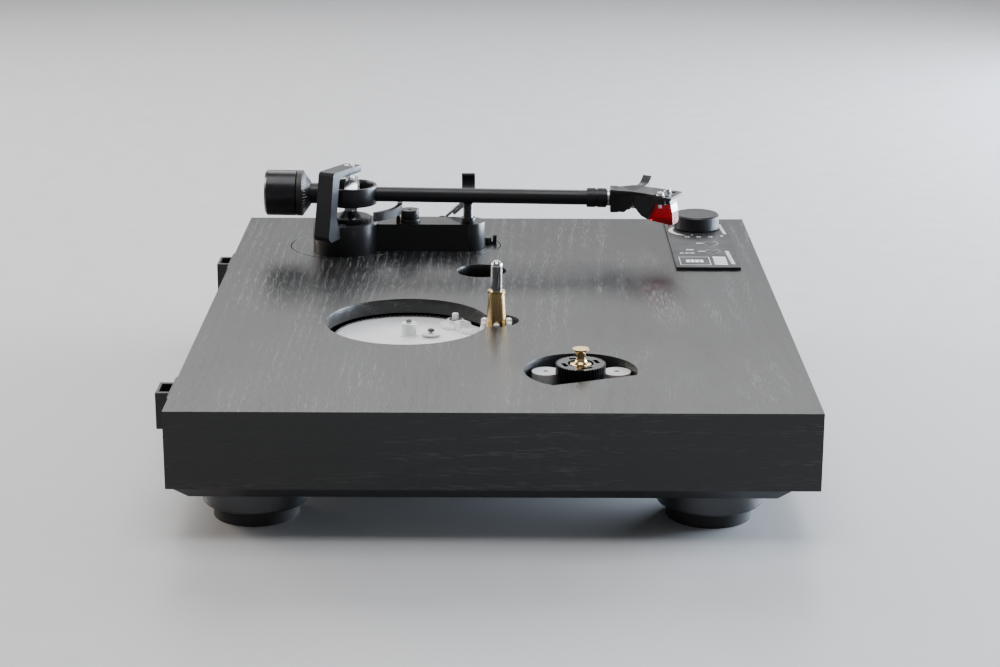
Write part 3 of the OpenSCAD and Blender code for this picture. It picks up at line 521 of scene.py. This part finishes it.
def control_prints():
    """Plain marks on the control plate: a speed scale beside the knob and rows of bars for the rest."""
    knob, start, stop = middle("speed_knob"), middle("start_button"), middle("stop_button")
    corner = low("control_plate")
    z0, z1 = PLATE_TOP - 0.02 * MM, PLATE_TOP + 0.05 * MM
    marks = Shape()
    arc_band(Vector((knob.x - 8 * MM, knob.y, 0)), 17.4 * MM, 20.4 * MM, 50, 148, z0, z1, marks, taper=True)

    def bar(x, y, w, d, lean=0.0):
        """A bar w by d, with x and y in millimetres from the plate's front left corner."""
        marks.prism([(corner.x + (x + a * w / 2 + b * lean) * MM, corner.y + (y + b * d / 2) * MM)
                     for a, b in ((-1, -1), (1, -1), (1, 1), (-1, 1))], z0, z1)

    for i, text in enumerate(("33", "45", "78")):
        place = (corner.x + 81.1 * MM, corner.y + (29.2 - 8 * i) * MM, PLATE_TOP + 0.02 * MM)
        numerals(text, 2.5 * MM, at(place, -math.pi / 2), marks)
    dot(Vector((corner.x + 86.7 * MM, corner.y + 25.3 * MM, 0)), 0.6 * MM, z0, z1, marks, 16)
    for i in range(9):
        bar(91 + 3.1 * i, 2.3 + 0.2 * i, 2.1, 2.3, 0.3)
    bar(84.2, 5, 1.8, 2)
    # A label and a dot beside each button
    for button in (start, stop):
        x, y = (button.x - corner.x) / MM - 0.7, (button.y - corner.y) / MM
        for i in range(4):
            bar(x, y + 6 + 1.1 * i, 2.2, 0.6)
        dot(Vector((corner.x + x * MM, button.y + 4.9 * MM, 0)), 0.45 * MM, z0, z1, marks, 12)
    bar(46, 30.1, 2, 5)
    for y, d in ((36.2, 2.4), (32.7, 2.7), (29.1, 3)):
        bar(37.1, y, 1.5, d)
    # An outlined panel with a solid middle, a bold block and a long row of small bars
    for x in (6.4, 26.6):
        bar(x, 29, 0.45, 19.8)
    for y in (19.1, 38.9):
        bar(16.5, y, 20.6, 0.45)
    for i in range(4):
        bar(16.1, 24.6 + 3 * i, 6.6, 2.4)
    for i in range(5):
        bar(8.4 + 4.4 * i, 12.1, 3.1, 8.6, 0.4)
    for i in range(14):
        bar(9.4 + 2.5 * i, 4.1 + 0.1 * i, 1.6, 2.6, 0.3)
    marks.piece("control_prints", "chassis", "ink", "white_plastic")


def button_highlight_rims():
    """A thin bright rim round most of each button, open towards the plate's right: a painted highlight along
    the dished buttons' edges.
    """
    rims = Shape()
    z0, z1 = PLATE_TOP - 0.02 * MM, PLATE_TOP + 0.04 * MM
    for button in (middle("start_button"), middle("stop_button")):
        arc_band(button, 5.0 * MM, 5.25 * MM, 20, 340, z0, z1, rims, 40)
    rims.piece("button_highlight_rims", "chassis", "bright", "polished_steel")


def smoothed(points, steps):
    """A Catmull-Rom curve through the points."""
    curve = []
    for k in range(len(points) - 1):
        p0, p1 = Vector(points[max(k - 1, 0)]), Vector(points[k])
        p2, p3 = Vector(points[k + 1]), Vector(points[min(k + 2, len(points) - 1)])
        for s in range(steps):
            t = s / steps
            curve.append(0.5 * ((2 * p1) + (p2 - p0) * t + (2 * p0 - 5 * p1 + 4 * p2 - p3) * t * t
                                + (3 * p1 - p0 - 3 * p2 + p3) * t ** 3))
    return curve + [Vector(points[-1])]


def cartridge_leads():
    """Four soft wires, with clips, from the headshell's neck to the pins behind the cartridge."""
    wire_r, clip_r = 0.42 * MM, 0.62 * MM
    first_x, pitch = -1.7, 2.2
    for i, key in enumerate(("wire_white", "wire_red", "wire_blue", "wire_green")):
        x = (first_x + pitch * i) * MM
        z_pin = (-1.2 if i % 2 else -4.2) * MM
        drop = (-2.2 - 1.1 * (i % 2)) * MM
        route = [
            (x * 0.55, -5.2 * MM, 0.5 * MM), (x * 0.7, -8.0 * MM, -1.0 * MM),
            (x * 0.95, -11.0 * MM, drop - 1.4 * MM), (x, -14.0 * MM, drop + z_pin * 0.4),
            (x, -16.4 * MM, z_pin), (x, -17.6 * MM, z_pin),
        ]
        wire = Shape()
        wire.tube([SHELL @ p for p in smoothed(route, 5)], wire_r)
        wire.piece(f"lead_{key[5:]}", "arm", key, "white_plastic", 60)
        clip = Shape()
        clip.tube([SHELL @ Vector((x, y * MM, z_pin)) for y in (-17.2, -19.3)], clip_r, 12)
        clip.piece(f"lead_clip_{i}", "arm", "gold", "brass", 60)


def gear_details():
    """Dark caps on the cam wheel's two studs and over its axle, and a bright nut on the pawl's stud."""
    pawl = Vector(joint("trip_pawl_swing")["pos_m"])
    axle = Vector(joint("cam_wheel_turn")["pos_m"])
    clip_stud = Vector((-37 * MM, 34 * MM, 0))

    def cap(shape, centre, depth, profile, steps=48):
        """Adds a turned shape to stand depth below the deck; depth and profile are in millimetres."""
        place = at((centre.x, centre.y, DECK - depth * MM))
        shape.lathe([(r * MM, z * MM) for r, z in profile], place, steps)

    dark = Shape()
    cap(dark, pawl, 7.3, [(2.3, 0), (4.2, 0), (4.3, 0.1), (4.2, 0.2), (2.3, 0.2)])
    cap(dark, axle, 2.9, [(0.5, 0), (1.9, 0), (1.9, 0.5), (1.2, 0.8), (0.5, 0.8)])
    cap(dark, clip_stud, 8.6, [(0.2, 0), (2.1, 0), (2.1, 0.9), (1.2, 1.4), (0.2, 1.4)])
    dark.piece("stud_caps", "cam_wheel", "plastic", "black_plastic", 40)
    bright = Shape()
    cap(bright, pawl, 3.9, [(1.25, 0), (1.9, 0), (1.9, 0.4), (1.25, 0.4)], 6)
    bright.piece("stud_nut", "cam_wheel", "bright", "polished_steel", 40)


def motor_wires():
    """The motor's two lead ends, seen through its opening: each runs right and outwards in a low arch."""
    motor = middle("motor_pulley")
    wire_r = 0.55 * MM
    steps = [i / 12 for i in range(13)]
    for key, side in (("wire_blue", -1), ("wire_white", 1)):
        wire = Shape()
        wire.tube([(motor.x + (13 + 9 * t) * MM, motor.y + side * (4 + 3 * t) * MM,
                    DECK + (-10.6 + 2.6 * math.sin(math.pi * t)) * MM) for t in steps], wire_r)
        wire.piece(f"motor_{key}", "chassis", key, "white_plastic", 60)


def collar_details():
    """The bright ring round the locking collar's slim front end, and the knurling on its two bands."""
    turn = ARM @ Matrix.Rotation(math.radians(-90), 4, "X")
    ring = Shape()
    profile = ((5.1, 0.7), (5.55, 0.9), (5.55, 1.9), (5.1, 2.1))
    ring.lathe([(r * MM, -NECK + behind * MM) for r, behind in profile], turn)
    ring.piece("collar_ring", "arm", "bright", "polished_steel", 40)
    knurl = Shape()
    ribs = 36
    rib_outline = [(x * MM, y * MM) for x, y in ((-0.1, -0.22), (0.18, -0.14), (0.18, 0.14), (-0.1, 0.22))]
    rib_r = 6.3 * MM
    back = -NECK + 15.9 * MM
    for first, last in ((back - 5.6 * MM, back - 0.6 * MM), (back - 12.8 * MM, back - 7.5 * MM)):
        for i in range(ribs):
            spin = Matrix.Rotation(2 * math.pi * i / ribs, 4, "Z")
            knurl.prism(rib_outline, first, last, turn @ spin @ Matrix.Translation((rib_r, 0, 0)))
    knurl.piece("collar_knurl", "arm", "satin", "black_metal")


def dial_scale():
    """Ticks on the cone of the counterweight's scale ring, every tenth one longer."""
    # The cone's radius and its place behind the tilt axis, at its front and its back
    r_front, r_back = 7.7 * MM, 14.8 * MM
    front, back = 26.3 * MM, 31.3 * MM
    # The ticks stand this far off the cone, outwards and forwards
    outwards, forwards = 0.03 * MM, 0.04 * MM
    ticks = 40
    marks = Shape()
    for i in range(ticks):
        a = 2 * math.pi * i / ticks
        start_t, half = (0.35, 0.02) if i % 10 == 0 else (0.62, 0.012)
        end_t, end_half = 0.92, half * 0.7
        ring = []
        for t, da in ((start_t, -half), (end_t, -end_half), (end_t, end_half), (start_t, half)):
            r = r_front + (r_back - r_front) * t + outwards
            y = front + (back - front) * t - forwards
            ring.append((r * math.sin(a + da), y, r * math.cos(a + da)))
        marks.add(ring, [(0, 1, 2, 3)], ARM)
    marks.piece("weight_scale", "force_dial", "ink", "white_plastic")


def dress_floor():
    mesh = bpy.data.meshes.new("floor")
    mesh.from_pydata([(-8, -8, 0), (8, -8, 0), (8, 8, 0), (-8, 8, 0)], [], [(0, 1, 2, 3)])
    floor = bpy.data.objects.new("floor", mesh)
    bpy.context.scene.collection.objects.link(floor)
    mesh.materials.append(moulded("floor_pale", (0.62, 0.62, 0.63), 0.42, grain=300, depth=0.02, vary=0.01))


def add_world():
    world = bpy.data.worlds.new("world")
    bpy.context.scene.world = world
    world.use_nodes = True
    background = world.node_tree.nodes["Background"]
    background.inputs["Color"].default_value = (0.80, 0.82, 0.86, 1)
    background.inputs["Strength"].default_value = 0.22


add_camera()
dress_floor()
add_world()
add_light("back", (1.5, 0.0, 1.1), (0, 0, 0.05), (2.6, 1.0), 28)
add_light("right", (0.3, -1.6, 0.7), (0, 0, 0.08), (1.4, 0.8), 16, (0.82, 0.90, 1.0))
add_light("left", (0.4, 1.6, 0.8), (0, 0, 0.08), (1.4, 0.8), 12, (1.0, 0.95, 0.88))
add_light("above", (-0.2, 0.0, 1.9), (0, 0, 0), (1.4, 1.4), 26)
add_light("cool_edge", (0.66, -1.2, 0.16), (0.12, 0.05, 0.12), (1.3, 0.3), 85, (0.74, 0.86, 1.0))
add_light("warm_edge", (0.9, 1.4, 0.5), (0.12, 0.12, 0.1), (0.3, 0.6), 12, (1.0, 0.86, 0.70))

dress_cad()
control_prints()
button_highlight_rims()
cartridge_leads()
gear_details()
motor_wires()
collar_details()
dial_scale()
